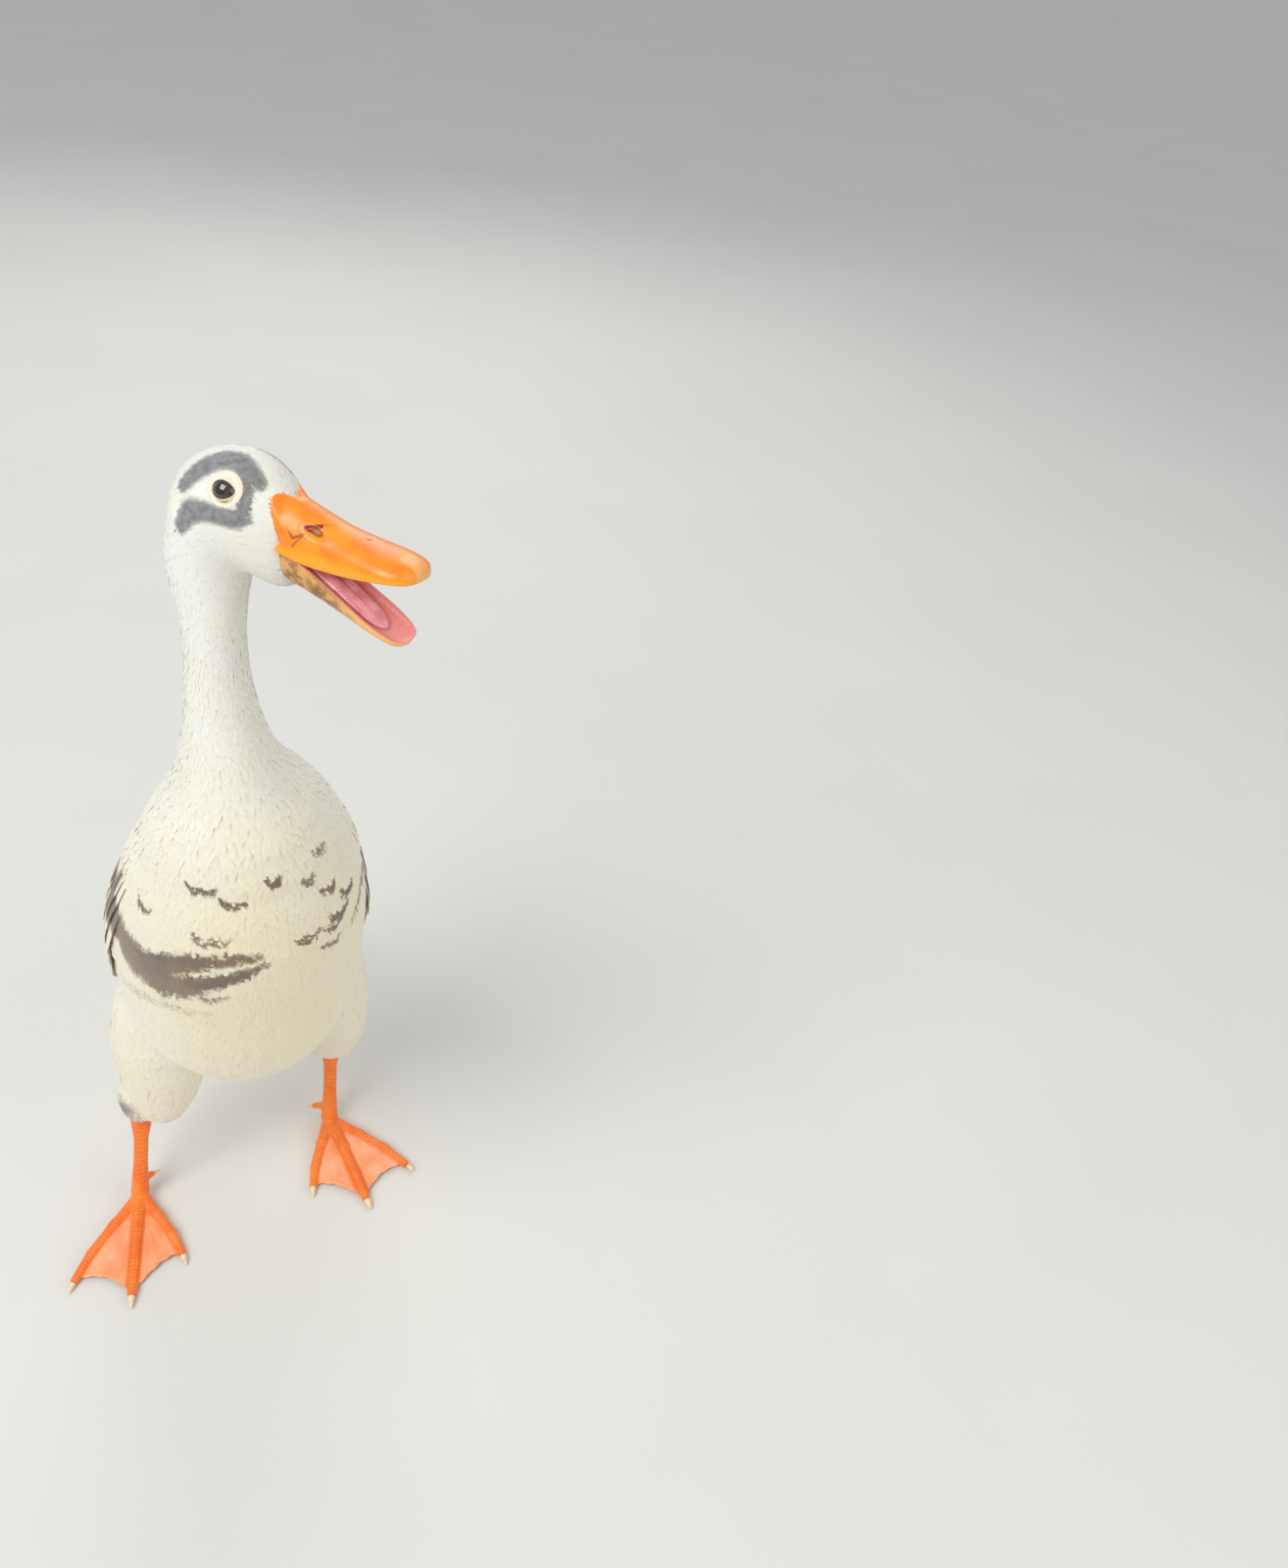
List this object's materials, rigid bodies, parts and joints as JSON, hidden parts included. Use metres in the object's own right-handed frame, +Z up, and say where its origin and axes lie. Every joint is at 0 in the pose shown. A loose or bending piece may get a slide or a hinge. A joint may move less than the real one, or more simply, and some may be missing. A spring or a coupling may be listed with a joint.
{
  "type": "indian runner duck",
  "caption": "Upright bottle-shaped duck standing on webbed feet, its long neck raised, head turned to its left and bill open; a life-size display figure",
  "frame": {"origin": "the middle of the figure's bounding box, on the floor it stands on", "axes": "+Z up; the breast faces -Y and the tail +Y; +X is the duck's own left; the bill points between +X and -Y"},
  "size_m": [0.214, 0.2892, 0.5288],
  "materials": {
    "plumage": "creamy white feathers with a few brown-grey patches",
    "leg": "bright orange scaled skin",
    "claw": "pale horn",
    "bill": "smooth orange horn, paler at the nail",
    "jaw": "brownish yellow horn, pink inside",
    "tongue": "moist pink flesh",
    "eye": "glossy dark brown"
  },
  "bodies": {
    "root": {"torso": "plumage", "neck": "plumage", "head": "plumage", "tail": "plumage", "wing_left": "plumage", "wing_right": "plumage", "thigh_left": "plumage", "thigh_right": "plumage", "leg_left": "leg", "leg_right": "leg", "claw_inner_left": "claw", "claw_middle_left": "claw", "claw_outer_left": "claw", "claw_hind_left": "claw", "claw_inner_right": "claw", "claw_middle_right": "claw", "claw_outer_right": "claw", "claw_hind_right": "claw", "upper_bill": "bill", "lower_bill": "jaw", "tongue": "tongue", "eye_left": "eye", "eye_right": "eye"}
  },
  "joints": []
}
